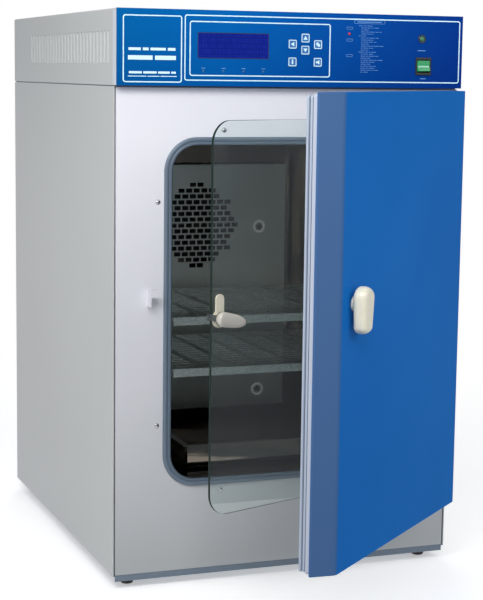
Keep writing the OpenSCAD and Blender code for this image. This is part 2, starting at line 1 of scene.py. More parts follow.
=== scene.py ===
"""Looks of the laboratory incubator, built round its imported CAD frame.

Places are in millimetres from the cabinet's front left corner on the floor (x right, y back, z up),
with both doors shut. at() turns them into metres in the shared frame. DOOR, GLASS and LATCH turn
the shut doors and the level latch to where they stand at rest.
"""
import json
import math

import bmesh
import bpy
from mathutils import Matrix, Vector


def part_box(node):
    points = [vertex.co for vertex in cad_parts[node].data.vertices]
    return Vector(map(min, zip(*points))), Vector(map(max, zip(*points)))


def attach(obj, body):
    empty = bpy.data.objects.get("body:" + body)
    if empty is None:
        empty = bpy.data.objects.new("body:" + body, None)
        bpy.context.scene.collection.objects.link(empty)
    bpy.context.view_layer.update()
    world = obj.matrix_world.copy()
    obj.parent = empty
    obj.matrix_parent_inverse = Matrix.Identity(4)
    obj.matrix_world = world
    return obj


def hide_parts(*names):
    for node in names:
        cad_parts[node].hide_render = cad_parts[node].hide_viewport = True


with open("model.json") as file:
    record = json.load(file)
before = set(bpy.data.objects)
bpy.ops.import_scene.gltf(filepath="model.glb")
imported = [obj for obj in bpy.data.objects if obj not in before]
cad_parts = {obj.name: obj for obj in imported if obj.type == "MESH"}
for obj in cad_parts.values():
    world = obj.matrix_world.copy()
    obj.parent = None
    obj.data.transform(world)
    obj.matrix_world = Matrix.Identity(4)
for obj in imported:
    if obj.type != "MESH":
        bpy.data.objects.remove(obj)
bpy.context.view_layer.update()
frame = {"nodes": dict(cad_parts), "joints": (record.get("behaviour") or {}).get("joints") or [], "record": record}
NODES = frame["nodes"]
JOINTS = {joint["name"]: joint for joint in frame["joints"]}
SLOT_OF = {part["node"]: part["material_slot"] for part in frame["record"]["subparts"]}
CORNER = Vector((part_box("left_side_panel")[0].x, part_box("front_panel")[0].y, 0.0))
HERE = Matrix.Identity(4)

# Sizes and places in millimetres that the pieces are fitted to.
MOUTH_HALF = (254, 336)
MOUTH_RADIUS = 60
SEAL_LAP = 10
SCREW_OFFSETS = ((272, 218), (141, 355))
CHAMBER_BACK = 540
DUCT_FACE = 498
FASCIA_FACE = -18.0
PRINT_DEPTH = 0.12
LAMP_Z = 1007.3
LAMP_X = (171, 211.6, 252.2, 292.8)


# ---- places --------------------------------------------------------------------------------------

def at(x, y, z):
    return CORNER + Vector((x, y, z)) / 1000


def millimetres(point):
    return (Vector(point) - CORNER) * 1000


def turned_open(joint_name):
    """Takes a shut door to its place at rest."""
    joint = JOINTS[joint_name]
    pivot = Vector(joint["pos_m"])
    turn = Matrix.Rotation(-math.radians(joint["range_deg"][0]), 4, Vector(joint["axis"]))
    return Matrix.Translation(pivot) @ turn @ Matrix.Translation(-pivot)


def shut_box(node, place):
    """A node's box in millimetres, seen with its door shut."""
    back = place.inverted()
    points = [millimetres(back @ vertex.co) for vertex in NODES[node].data.vertices]
    low = Vector([min(p[i] for p in points) for i in range(3)])
    high = Vector([max(p[i] for p in points) for i in range(3)])
    return low, high


def flat_box(node):
    low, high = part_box(node)
    return millimetres(low), millimetres(high)


DOOR = turned_open("outer_door_hinge")
GLASS = turned_open("glass_door_hinge")
LATCH_HUB = millimetres(GLASS.inverted() @ Vector(JOINTS["latch_turn"]["pos_m"]))
_hub = at(*LATCH_HUB)
LATCH = (
    GLASS
    @ Matrix.Translation(_hub)
    @ Matrix.Rotation(-math.radians(JOINTS["latch_turn"]["range_deg"][0]), 4, "Y")
    @ Matrix.Translation(-_hub)
)


# ---- camera, light and floor ---------------------------------------------------------------------

def set_camera():
    yaw, pitch, roll = 0.35677, -0.13703, 0.01273
    forward = Vector((
        math.sin(yaw) * math.cos(pitch),
        math.cos(yaw) * math.cos(pitch),
        math.sin(pitch),
    ))
    level = Vector((math.cos(yaw), -math.sin(yaw), 0))
    upright = level.cross(forward)
    right = level * math.cos(roll) + upright * math.sin(roll)
    up = upright * math.cos(roll) - level * math.sin(roll)
    turn = Matrix((right, up, -forward)).transposed().to_4x4()
    data = bpy.data.cameras.new("camera")
    data.sensor_width = 36
    data.lens = 98.84
    data.clip_end = 50
    camera = bpy.data.objects.new("camera", data)
    bpy.context.scene.collection.objects.link(camera)
    camera.matrix_world = Matrix.Translation(Vector((-1.2176, -3.4214, 1.0049))) @ turn
    bpy.context.scene.camera = camera


def area_light(name, place, target, size, power, colour=(1, 1, 1)):
    data = bpy.data.lights.new(name, "AREA")
    data.shape = "RECTANGLE"
    data.size, data.size_y = size
    data.energy = power
    data.color = colour
    light = bpy.data.objects.new(name, data)
    bpy.context.scene.collection.objects.link(light)
    light.location = place
    aim = Vector(target) - Vector(place)
    light.rotation_euler = aim.to_track_quat("-Z", "Y").to_euler()


def set_stage():
    world = bpy.data.worlds.new("studio")
    bpy.context.scene.world = world
    world.use_nodes = True
    tree = world.node_tree
    background = tree.nodes["Background"]
    background.inputs["Color"].default_value = (0.93, 0.95, 1.0, 1)
    background.inputs["Strength"].default_value = 0.42
    paper = tree.nodes.new("ShaderNodeBackground")
    paper.inputs["Color"].default_value = (1, 1, 1, 1)
    seen = tree.nodes.new("ShaderNodeLightPath").outputs["Is Camera Ray"]
    mix = tree.nodes.new("ShaderNodeMixShader")
    tree.links.new(seen, mix.inputs["Fac"])
    tree.links.new(background.outputs["Background"], mix.inputs[1])
    tree.links.new(paper.outputs["Background"], mix.inputs[2])
    tree.links.new(mix.outputs["Shader"], tree.nodes["World Output"].inputs["Surface"])
    area_light("key", (-1.1, -2.7, 2.7), (0, -0.4, 0.95), (1.6, 1.2), 35, (1.0, 0.99, 0.97))
    area_light("corner_fill", (-1.25, -1.45, 1.75), (-0.36, -0.42, 0.9), (0.7, 0.7), 10.5)
    area_light("side_fill", (-2.5, -2.0, 1.5), (-0.36, -0.35, 0.65), (1.2, 1.6), 8,
               (0.97, 1.0, 1.0))
    area_light("door_fill", (1.2, -2.2, 1.9), (0.0, -0.7, 0.8), (1.2, 1.2), 10.5, (0.97, 0.98, 1.0))
    area_light("rear_fill", (1.2, 3.6, 2.4), (0, 0.4, 0.6), (1.6, 1.6), 30)
    floor = bpy.data.objects.new("floor", bpy.data.meshes.new("floor"))
    bpy.context.scene.collection.objects.link(floor)
    grid = bmesh.new()
    bmesh.ops.create_grid(grid, x_segments=2, y_segments=2, size=30)
    grid.to_mesh(floor.data)
    grid.free()
    floor.data.materials.append(studio_floor())
    floor.visible_diffuse = False


# ---- materials -----------------------------------------------------------------------------------

class Finish:
    """A Principled material whose colour, roughness and relief come from noise in metres."""

    def __init__(self, name):
        self.material = bpy.data.materials.new(name)
        self.material.use_nodes = True
        tree = self.material.node_tree
        self.nodes, self.links = tree.nodes, tree.links
        self.shader = self.nodes["Principled BSDF"]
        self.place = self.nodes.new("ShaderNodeTexCoord").outputs["Object"]

    def noise(self, scale, detail=3.0, stretch=(1, 1, 1)):
        mapping = self.nodes.new("ShaderNodeMapping")
        mapping.inputs["Scale"].default_value = stretch
        self.links.new(self.place, mapping.inputs["Vector"])
        noise = self.nodes.new("ShaderNodeTexNoise")
        noise.inputs["Scale"].default_value = scale
        noise.inputs["Detail"].default_value = detail
        self.links.new(mapping.outputs["Vector"], noise.inputs["Vector"])
        return noise.outputs["Fac"]

    def ramp(self, value, stops):
        ramp = self.nodes.new("ShaderNodeValToRGB")
        elements = ramp.color_ramp.elements
        while len(elements) < len(stops):
            elements.new(0.5)
        for element, (position, colour) in zip(elements, stops):
            element.position = position
            element.color = (*colour[:3], 1)
        self.links.new(value, ramp.inputs["Fac"])
        return ramp.outputs["Color"]

    def spread(self, value, low, high, source=(0.3, 0.7)):
        span = self.nodes.new("ShaderNodeMapRange")
        sockets = ("From Min", "From Max", "To Min", "To Max")
        for socket, number in zip(sockets, (*source, low, high)):
            span.inputs[socket].default_value = number
        self.links.new(value, span.inputs["Value"])
        return span.outputs["Result"]

    def axis(self, name):
        split = self.nodes.new("ShaderNodeSeparateXYZ")
        self.links.new(self.place, split.inputs["Vector"])
        return split.outputs[name]

    def multiply(self, first, second, share=1.0):
        mix = self.nodes.new("ShaderNodeMix")
        mix.data_type = "RGBA"
        mix.blend_type = "MULTIPLY"
        mix.inputs["Factor"].default_value = share
        self.links.new(first, mix.inputs["A"])
        self.links.new(second, mix.inputs["B"])
        return mix.outputs["Result"]

    def colour(self, output):
        self.links.new(output, self.shader.inputs["Base Color"])

    def roughness(self, output):
        self.links.new(output, self.shader.inputs["Roughness"])

    def relief(self, height, distance, strength=1.0):
        bump = self.nodes.new("ShaderNodeBump")
        bump.inputs["Distance"].default_value = distance
        bump.inputs["Strength"].default_value = strength
        self.links.new(height, bump.inputs["Height"])
        self.links.new(bump.outputs["Normal"], self.shader.inputs["Normal"])

    def worn_edge(self, base, light, share=0.5):
        """Lightens convex edges a little, as handling does."""
        point = self.nodes.new("ShaderNodeNewGeometry").outputs["Pointiness"]
        mask = self.spread(point, 0.0, share, (0.52, 0.60))
        mix = self.nodes.new("ShaderNodeMix")
        mix.data_type = "RGBA"
        self.links.new(mask, mix.inputs["Factor"])
        self.links.new(base, mix.inputs["A"])
        mix.inputs["B"].default_value = (*light, 1)
        return mix.outputs["Result"]


def shade(colour, factor):
    return tuple(min(1.0, channel * factor) for channel in colour[:3])


def finish(name, colour, rough, metal=0.0, grain=0.05, grain_scale=6, bump=0.00002, bump_scale=700,
           stretch=(1, 1, 1), rough_spread=0.06, wear=None, **sockets):
    f = Finish(name)
    f.shader.inputs["Metallic"].default_value = metal
    cloudy = f.noise(grain_scale, 4, stretch)
    tone = f.ramp(cloudy, [(0.3, shade(colour, 1 - grain)), (0.7, shade(colour, 1 + grain))])
    if wear:
        tone = f.worn_edge(tone, wear)
    f.colour(tone)
    fine = f.noise(bump_scale, 2, stretch)
    f.roughness(f.spread(fine, rough - rough_spread, rough + rough_spread))
    if bump:
        f.relief(fine, bump)
    for socket, value in sockets.items():
        f.shader.inputs[socket.replace("_", " ")].default_value = value
    return f.material


def powder_coat(name, colour, rough=0.42, grain=0.02, **sockets):
    return finish(name, colour, rough, grain=grain, grain_scale=2.5, bump=0.00004,
                  bump_scale=420, **sockets)


def brushed(name, colour, rough, stretch, grain=0.05):
    return finish(name, colour, rough, 1.0, grain=grain, grain_scale=40, bump=0.000004,
                  bump_scale=420, stretch=stretch, rough_spread=min(0.06, rough / 2))


def polished(name, colour):
    """Mirror-polished thin sheet, whose slow waves draw reflections out into upright streaks."""
    f = Finish(name)
    f.shader.inputs["Metallic"].default_value = 1.0
    cloudy = f.noise(14, 3, (1, 1, 0.2))
    f.colour(f.ramp(cloudy, [(0.3, shade(colour, 0.8)), (0.7, shade(colour, 1.25))]))
    f.roughness(f.spread(f.noise(60, 2, (1, 1, 0.1)), 0.04, 0.09))
    f.relief(f.noise(9, 2, (1, 1, 0.18)), 0.004)
    return f.material


def fascia_blue():
    f = Finish("fascia_blue")
    up = f.spread(f.axis("Z"), 0, 1, (0.979, 1.122))
    down_tone = f.ramp(up, [(0.0, (0.001, 0.120, 0.43)), (1.0, (0.001, 0.160, 0.52))])
    across = f.spread(f.axis("X"), 0, 1, (-0.36, 0.36))
    tint = f.ramp(across, [(0.0, (0.5, 0.73, 0.70)), (0.3, (0.5, 0.77, 0.84)),
                           (0.64, (0.5, 0.48, 0.70)), (1.0, (0.4, 0.24, 0.52))])
    f.colour(f.multiply(down_tone, tint))
    fine = f.noise(900, 2)
    f.roughness(f.spread(fine, 0.30, 0.38))
    f.relief(fine, 0.00001)
    f.shader.inputs["Specular IOR Level"].default_value = 0.03
    return f.material


def studio_floor():
    """Pale floor that fades to the white of the studio away from the object."""
    f = Finish("studio_floor")
    f.colour(f.ramp(f.noise(3), [(0.3, (0.93, 0.93, 0.93)), (0.7, (0.95, 0.95, 0.95))]))
    f.shader.inputs["Roughness"].default_value = 0.7
    f.shader.inputs["Specular IOR Level"].default_value = 0.1
    f.shader.inputs["Emission Color"].default_value = (1, 1, 1, 1)
    f.shader.inputs["Emission Strength"].default_value = 0.38
    paper = f.nodes.new("ShaderNodeEmission")
    distance = f.nodes.new("ShaderNodeVectorMath")
    distance.operation = "LENGTH"
    f.links.new(f.place, distance.inputs[0])
    fade = f.nodes.new("ShaderNodeMixShader")
    f.links.new(f.spread(distance.outputs["Value"], 0, 1, (0.7, 2.2)), fade.inputs["Fac"])
    f.links.new(f.shader.outputs["BSDF"], fade.inputs[1])
    f.links.new(paper.outputs["Emission"], fade.inputs[2])
    f.links.new(fade.outputs["Shader"], f.nodes["Material Output"].inputs["Surface"])
    return f.material


def door_blue():
    """Blue coat with painted shade: duller and darker where the sheet is bent to the bevels."""
    f = Finish("door_blue")
    cloudy = f.noise(2.2, 3)
    tone = f.ramp(cloudy, [(0.3, (0.001, 0.154, 0.560)), (0.7, (0.003, 0.176, 0.615))])
    bend = f.nodes.new("ShaderNodeAttribute")
    bend.attribute_name = "bend"
    # Painted shade: the bent bevels fade to a muted, darker blue.
    bevel_shade_mask = f.ramp(bend.outputs["Fac"],
                  [(0.0, (0, 0, 0)), (0.55, (0.9, 0.9, 0.9)), (1.0, (1, 1, 1))])
    mix = f.nodes.new("ShaderNodeMix")
    mix.data_type = "RGBA"
    f.links.new(bevel_shade_mask, mix.inputs["Factor"])
    f.links.new(tone, mix.inputs["A"])
    # The muted blue of the painted bevel shade.
    mix.inputs["B"].default_value = (0.066, 0.140, 0.305, 1)
    f.colour(f.worn_edge(mix.outputs["Result"], (0.10, 0.24, 0.52), 0.25))
    fine = f.noise(420, 2)
    f.roughness(f.spread(fine, 0.30, 0.40))
    f.relief(fine, 0.00003)
    f.shader.inputs["Specular IOR Level"].default_value = 0.005
    return f.material


def mark_bends(obj, place):
    """Stores how far each corner's face turns away from the shut door's front, the mask for the door's painted
    bevel shade.
    """
    front = (place.to_3x3() @ Vector((0, -1, 0))).normalized()
    side = (place.to_3x3() @ Vector((1, 0, 0))).normalized()
    bend = obj.data.attributes.new("bend", "FLOAT", "CORNER")
    for polygon in obj.data.polygons:
        turned_away = min(1.0, abs(polygon.normal.dot(side)) * 1.414)
        for loop in polygon.loop_indices:
            bend.data[loop].value = turned_away if polygon.normal.dot(front) > -0.2 else 0.0


def front_white():
    """White paint that is a little greyer and cooler towards the bottom: painted shade for the weaker light low
    down.
    """
    f = Finish("front_paint")
    tone = f.ramp(f.noise(2.5, 3), [(0.3, (0.80, 0.80, 0.86)), (0.7, (0.84, 0.84, 0.89))])
    up = f.spread(f.axis("Z"), 0, 1, (0.05, 0.75))
    # Painted shade: the colour darkens towards the bottom of the panel.
    painted_low_shade = f.ramp(up, [(0.0, (0.60, 0.63, 0.60)), (0.5, (0.86, 0.87, 0.86)), (1.0, (1, 1, 1))])
    f.colour(f.multiply(tone, painted_low_shade))
    fine = f.noise(420, 2)
    f.roughness(f.spread(fine, 0.34, 0.44))
    f.relief(fine, 0.00004)
    return f.material


def display_indigo():
    f = Finish("display")
    rows = f.nodes.new("ShaderNodeTexBrick")
    rows.inputs["Scale"].default_value = 1.0
    rows.inputs["Brick Width"].default_value = 0.0030
    rows.inputs["Row Height"].default_value = 0.0105
    rows.inputs["Mortar Size"].default_value = 0.0009
    turn = f.nodes.new("ShaderNodeMapping")
    turn.inputs["Rotation"].default_value = (math.radians(-90), 0, 0)
    f.links.new(f.place, turn.inputs["Vector"])
    f.links.new(turn.outputs["Vector"], rows.inputs["Vector"])
    rows.inputs["Color1"].default_value = (0.006, 0.018, 0.26, 1)
    rows.inputs["Color2"].default_value = (0.011, 0.028, 0.36, 1)
    rows.inputs["Mortar"].default_value = (0.004, 0.012, 0.20, 1)
    f.colour(rows.outputs["Color"])
    f.roughness(f.spread(f.noise(500, 2), 0.20, 0.26))
    f.shader.inputs["Specular IOR Level"].default_value = 0.05
    return f.material


def clear_glass(name, colour, rough):
    f = Finish(name)
    smear = f.noise(9, 3)
    f.colour(f.ramp(smear, [(0.3, shade(colour, 0.97)), (0.7, colour)]))
    f.roughness(f.spread(smear, rough, rough + 0.02))
    f.shader.inputs["Transmission Weight"].default_value = 0.992
    f.shader.inputs["IOR"].default_value = 1.5
    return f.material


# One material for each slot of the CAD record, then the looks that some pieces have of their own.
MATERIALS = {
    "cabinet_paint": powder_coat("cabinet_paint", (0.60, 0.62, 0.61)),
    "front_paint": front_white(),
    "frame_steel": powder_coat("frame_steel", (0.17, 0.22, 0.28)),
    "feet_rubber": finish("feet_rubber", (0.020, 0.014, 0.012), 0.6, bump=0.00008,
                          wear=(0.09, 0.08, 0.07)),
    "screw_steel": finish("screw_steel", (0.45, 0.45, 0.47), 0.22, 1.0, bump_scale=1500),
    "plate_steel": brushed("plate_steel", (0.55, 0.57, 0.60), 0.42, (1, 1, 1)),
    "chamber_steel": polished("chamber_steel", (0.165, 0.142, 0.118)),
    "inner_steel": brushed("inner_steel", (0.50, 0.54, 0.51), 0.26, (0.3, 5, 5)),
    "seal_rubber": finish("seal_rubber", (0.095, 0.135, 0.185), 0.45, bump=0.00003),
    "foam": finish("foam", (0.70, 0.60, 0.33), 0.9, grain=0.15, bump=0.0006, bump_scale=160),
    "port_plastic": finish("port_plastic", (0.045, 0.047, 0.045), 0.35, wear=(0.3, 0.3, 0.3)),
    "motor_metal": finish("motor_metal", (0.07, 0.07, 0.08), 0.55, 0.4, bump=0.0002,
                          bump_scale=300),
    "fascia_blue": fascia_blue(),
    "display": display_indigo(),
    "board": finish("board", (0.01, 0.10, 0.04), 0.35, grain=0.2, grain_scale=60),
    "key_face": finish("key_face", (0.010, 0.130, 0.430), 0.30, wear=(0.20, 0.40, 0.70)),
    "lamp_green": finish("lamp_green", (0.03, 0.22, 0.16), 0.15, Coat_Weight=0.6),
    "lamp_dome": finish("lamp_dome", (0.010, 0.16, 0.07), 0.12, Coat_Weight=0.8),
    "black_plastic": finish("black_plastic", (0.012, 0.013, 0.015), 0.32, bump=0.00003,
                            wear=(0.08, 0.08, 0.08)),
    "rocker_green": finish("rocker_green", (0.01, 0.27, 0.09), 0.14, Coat_Weight=0.5,
                           Emission_Color=(0.02, 0.60, 0.16, 1), Emission_Strength=0.10),
    "brass_fitting": finish("brass_fitting", (0.62, 0.42, 0.15), 0.25, 1.0, bump_scale=900),
    "tap_red": finish("tap_red", (0.45, 0.02, 0.015), 0.3, wear=(0.7, 0.2, 0.15)),
    "hinge_steel": brushed("hinge_steel", (0.60, 0.61, 0.63), 0.30, (3, 3, 0.3)),
    "glass": clear_glass("glass", (0.88, 0.95, 0.925), 0.0),
    "cream": finish("cream", (0.84, 0.80, 0.64), 0.28, grain=0.03, bump=0.00002, Coat_Weight=0.3,
                    Subsurface_Weight=0.08, Subsurface_Scale=0.01),
    "door_blue": door_blue(),
    "liner_white": powder_coat("liner_white", (0.80, 0.80, 0.86)),
    "trim_white": finish("trim_white", (0.52, 0.57, 0.68), 0.38, grain=0.02),
    "gasket_white": finish("gasket_white", (0.43, 0.50, 0.62), 0.52, grain=0.03, Sheen_Weight=0.2),
}
EXTRA = {
    "glass_edge": finish("glass_edge", (0.010, 0.026, 0.020), 0.30, grain=0.2, grain_scale=30,
                         Specular_IOR_Level=0.1),
    "groove_shadow": finish("groove_shadow", (0.05, 0.065, 0.12), 0.6),
    # White print with a faint painted glow; the rocker's painted highlight bar uses it too.
    "print_and_highlight_white": finish("print_and_highlight_white", (0.66, 0.90, 0.98), 0.35, grain=0.02, bump=0,
                          Emission_Color=(0.6, 0.9, 1.0, 1), Emission_Strength=0.08),
    "print_soft": finish("print_soft", (0.13, 0.34, 0.68), 0.35, grain=0.02, bump=0),
    # Near-black navy for the painted shadow inside the display's recess.
    "display_recess_shade": finish("display_recess_shade", (0.004, 0.012, 0.12), 0.4, bump=0),
    "lamp_red": finish("lamp_red", (0.50, 0.02, 0.05), 0.15, Coat_Weight=0.6),
    # Pale band for the front of the cover's sides: a painted reflection.
    "pale_side_reflection": powder_coat("pale_side_reflection", (0.70, 0.74, 0.80)),
    "baffle": finish("baffle", (0.20, 0.21, 0.21), 0.5),
    "lamp_off": finish("lamp_off", (0.02, 0.14, 0.35), 0.2, Coat_Weight=0.6),
    "duct_face": finish("duct_face", (0.58, 0.62, 0.59), 0.42, 0.72, grain=0.04, grain_scale=9,
                        bump_scale=300),
    # Near-white colour and faint glow: painted glints in place of chrome reflections on the port collars and
    # studs.
    "port_painted_glint": finish("port_painted_glint", (0.93, 0.94, 0.92), 0.25, 0.15, bump_scale=900,
                          Emission_Color=(0.88, 0.95, 0.92, 1), Emission_Strength=0.06),
    "fan_dark": finish("fan_dark", (0.030, 0.032, 0.032), 0.45, 0.6),
    # A darker copy of the cream plastic for the latch lever: painted shade.
    "lever_shaded_cream": finish("lever_shaded_cream", (0.62, 0.60, 0.53), 0.30, grain=0.04, Coat_Weight=0.2),
    # Dark and light copies of the seal rubber: painted shade on the inner lip, painted highlight on the outer
    # bead.
    "seal_painted_shade": finish("seal_painted_shade", (0.030, 0.042, 0.052), 0.5, bump=0.00003),
    "seal_painted_highlight": finish("seal_painted_highlight", (0.135, 0.18, 0.24), 0.40, bump=0.00003),
    "cam_steel": brushed("cam_steel", (0.20, 0.23, 0.23), 0.35, (3, 3, 0.3)),
}


# ---- mesh tools ----------------------------------------------------------------------------------

def dress(mesh, material, smooth):
    mesh.materials.clear()
    mesh.materials.append(material)
    for polygon in mesh.polygons:
        polygon.use_smooth = True
    mesh.set_sharp_from_angle(angle=math.radians(smooth))


def piece(name, shape, body, slot, stands_for=(), place=HERE, material=None, smooth=40,
          round_by=0.0):
    """Makes a piece from (points in mm, faces), rounds its sharp edges, and rides it on a body."""
    points, faces = shape
    work = bmesh.new()
    made = [work.verts.new(at(*p)) for p in points]
    for face in faces:
        work.faces.new([made[i] for i in face])
    bmesh.ops.remove_doubles(work, verts=work.verts, dist=1e-6)
    bmesh.ops.recalc_face_normals(work, faces=work.faces)
    if round_by:
        sharp = [
            edge for edge in work.edges
            if len(edge.link_faces) == 2 and edge.calc_face_angle(0) > math.radians(35)
        ]
        bmesh.ops.bevel(work, geom=sharp, offset=round_by / 1000, segments=2, profile=0.5,
                        affect="EDGES", clamp_overlap=True)
    work.transform(place)
    mesh = bpy.data.meshes.new(name)
    work.to_mesh(mesh)
    work.free()
    obj = bpy.data.objects.new(name, mesh)
    bpy.context.scene.collection.objects.link(obj)
    dress(mesh, material or MATERIALS[slot], smooth)
    even = obj.modifiers.new("even_normals", "WEIGHTED_NORMAL")
    even.keep_sharp = True
    even.weight = 90
    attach(obj, body)
    if stands_for:
        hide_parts(*stands_for)
    return obj


def joined(*shapes):
    points, faces = [], []
    for shape in shapes:
        start = len(points)
        points += list(shape[0])
        faces += [[start + i for i in face] for face in shape[1]]
    return points, faces


def brick(low, high):
    (a, b, c), (d, e, f) = low, high
    points = [(x, y, z) for z in (c, f) for x, y in ((a, b), (d, b), (d, e), (a, e))]
    faces = [(0, 3, 2, 1), (4, 5, 6, 7), (0, 1, 5, 4), (1, 2, 6, 5), (2, 3, 7, 6), (3, 0, 4, 7)]
    return points, faces


def rounded_loop(x0, z0, x1, z1, radius, steps=8):
    """Points of a rounded rectangle with the way out at each."""
    loop = []
    centres = [(x1 - radius, z1 - radius), (x0 + radius, z1 - radius),
               (x0 + radius, z0 + radius), (x1 - radius, z0 + radius)]
    for quarter, (cx, cz) in enumerate(centres):
        for step in range(steps + 1):
            angle = math.radians(90 * (quarter + step / steps))
            out = (math.cos(angle), math.sin(angle))
            loop.append(((cx + radius * out[0], cz + radius * out[1]), out))
    return loop


def corners_of(loop):
    return [point for point, _ in loop]


def loop_about(x, z, half_x, half_z, radius, steps):
    return rounded_loop(x - half_x, z - half_z, x + half_x, z + half_z, radius, steps)


def frame_of(low, high, radius, steps=8, inset=(0, 0)):
    """A rounded loop along a box's edges in x and z."""
    x0, z0, x1, z1 = low.x + inset[0], low.z + inset[1], high.x - inset[0], high.z - inset[1]
    return rounded_loop(x0, z0, x1, z1, radius, steps)


def turns(steps):
    """The angles of evenly spaced points on a circle."""
    return [2 * math.pi * i / steps for i in range(steps)]


def squarish(value, power):
    """Bends a sine or cosine so that a circle comes out as a rounded square."""
    return math.copysign(abs(value) ** power, value)


def circle(x, z, radius, steps=32):
    return [(x + radius * math.cos(a), z + radius * math.sin(a)) for a in turns(steps)]


def ring(loop, profile):
    """Sweeps a closed profile of (way out, y) round a loop in x and z."""
    n, m = len(loop), len(profile)
    points = [
        (x + out * nx, y, z + out * nz) for (x, z), (nx, nz) in loop for out, y in profile
    ]
    faces = [
        (i * m + j, i * m + (j + 1) % m, (i + 1) % n * m + (j + 1) % m, (i + 1) % n * m + j)
        for i in range(n) for j in range(m)
    ]
    return points, faces


def turned(profile, centre, axis="y", steps=40):
    """Turns (radius, distance along the axis) points about an axis through centre."""
    cx, cy, cz = centre
    points, faces = [], []
    for angle in turns(steps):
        c, s = math.cos(angle), math.sin(angle)
        for radius, along in profile:
            if axis == "y":
                points.append((cx + radius * c, cy + along, cz + radius * s))
            elif axis == "z":
                points.append((cx + radius * c, cy + radius * s, cz + along))
            else:
                points.append((cx + along, cy + radius * c, cz + radius * s))
    m = len(profile)
    for i in range(steps):
        for j in range(m - 1):
            after = (i + 1) % steps * m + j
            faces.append((i * m + j, i * m + j + 1, after + 1, after))
    faces.append([i * m for i in range(steps)])
    faces.append([i * m + m - 1 for i in range(steps)])
    return points, faces


def sleeve(sections):
    """Skins rings of the same number of points, and leaves both ends open."""
    n = len(sections[0])
    points = [point for section in sections for point in section]
    faces = [
        (k * n + i, k * n + (i + 1) % n, (k + 1) * n + (i + 1) % n, (k + 1) * n + i)
        for k in range(len(sections) - 1) for i in range(n)
    ]
    return points, faces


def lofted(sections):
    """A sleeve with both ends closed."""
    n = len(sections[0])
    points, faces = sleeve(sections)
    faces.append(list(range(n)))
    faces.append([len(points) - n + i for i in range(n)])
    return points, faces


def plate(outlines, y0, y1, edge=0.3):
    """A flat plate with holes: the first outline is its edge, in x and z, the rest are holes."""
    data = bpy.data.curves.new("outline", "CURVE")
    data.dimensions = "2D"
    data.fill_mode = "BOTH"
    data.extrude = (y1 - y0) / 2 - edge
    data.bevel_depth = edge
    data.bevel_resolution = 1
    data.offset = -edge
    for outline in outlines:
        spline = data.splines.new("POLY")
        spline.points.add(len(outline) - 1)
        for point, (x, z) in zip(spline.points, outline):
            point.co = (x, z, 0, 1)
        spline.use_cyclic_u = True
    obj = bpy.data.objects.new("outline", data)
    bpy.context.scene.collection.objects.link(obj)
    bpy.context.view_layer.update()
    filled = obj.evaluated_get(bpy.context.evaluated_depsgraph_get())
    mesh = bpy.data.meshes.new_from_object(filled)
    middle = (y0 + y1) / 2
    shape = (
        [(v.co.x, middle + v.co.z, v.co.y) for v in mesh.vertices],
        [list(p.vertices) for p in mesh.polygons],
    )
    bpy.data.objects.remove(obj)
    bpy.data.curves.remove(data)
    bpy.data.meshes.remove(mesh)
    return shape


def prism(outline, z0, z1):
    """An upright prism on an outline in x and y."""
    return lofted([[(x, y, z) for x, y in outline] for z in (z0, z1)])


def slab(outline, y0, y1):
    """A small raised shape on a convex outline in x and z."""
    return lofted([[(x, y, z) for x, z in outline] for y in (y0, y1)])


def strip(x0, z0, x1, z1):
    """A printed bar on the fascia."""
    return brick((x0, FASCIA_FACE - PRINT_DEPTH, z0), (x1, FASCIA_FACE, z1))


# ---- outer door ----------------------------------------------------------------------------------

def arc(centre, radius, start, end, steps):
    """Points from angle start to end, in degrees."""
    return [
        (
            centre[0] + radius * math.cos(math.radians(start + (end - start) * i / steps)),
            centre[1] + radius * math.sin(math.radians(start + (end - start) * i / steps)),
        )
        for i in range(steps + 1)
    ]


def door_outline(low, high, inset, bend):
    """Plan of the door's skin: soft bends where the bevels meet the face and the edges."""
    lip = 26.4
    bevel = abs(low.y) - lip
    bend_steps = 6
    x0, x1, y0 = low.x + inset, high.x - inset, low.y + inset
    corner = 0.414 * inset
    raw = [
        (x0, high.y), (x0, -lip + corner), (low.x + bevel + corner, y0),
        (high.x - bevel - corner, y0), (x1, -lip + corner), (x1, high.y),
    ]
    outline = [raw[0]]
    for before, here, after, radius in zip(raw, raw[1:], raw[2:], (3, bend, bend, 3)):
        a, p, b = Vector(before), Vector(here), Vector(after)
        towards, away = (a - p).normalized(), (b - p).normalized()
        cut = radius * math.tan((math.pi - towards.angle(away)) / 2)
        start, end = p + towards * cut, p + away * cut
        for i in range(bend_steps + 1):
            t = i / bend_steps
            outline.append(tuple(start * (1 - t) ** 2 + p * 2 * t * (1 - t) + end * t ** 2))
    outline.append(raw[-1])
    return outline


def hollowed(outer, inner):
    """Cuts one closed shape from another and gives the result back as a shape."""
    objects = []
    for label, (points, faces) in (("outer", outer), ("inner", inner)):
        mesh = bpy.data.meshes.new(label)
        mesh.from_pydata(points, [], faces)
        obj = bpy.data.objects.new(label, mesh)
        bpy.context.scene.collection.objects.link(obj)
        work = bmesh.new()
        work.from_mesh(mesh)
        bmesh.ops.recalc_face_normals(work, faces=work.faces)
        work.to_mesh(mesh)
        work.free()
        objects.append(obj)
    cut = objects[0].modifiers.new("cut", "BOOLEAN")
    cut.operation = "DIFFERENCE"
    cut.solver = "EXACT"
    cut.object = objects[1]
    bpy.context.view_layer.update()
    cut_object = objects[0].evaluated_get(bpy.context.evaluated_depsgraph_get())
    mesh = bpy.data.meshes.new_from_object(cut_object)
    shape = ([tuple(v.co) for v in mesh.vertices], [list(p.vertices) for p in mesh.polygons])
    for obj in objects:
        bpy.data.objects.remove(obj)
    bpy.data.meshes.remove(mesh)
    return shape


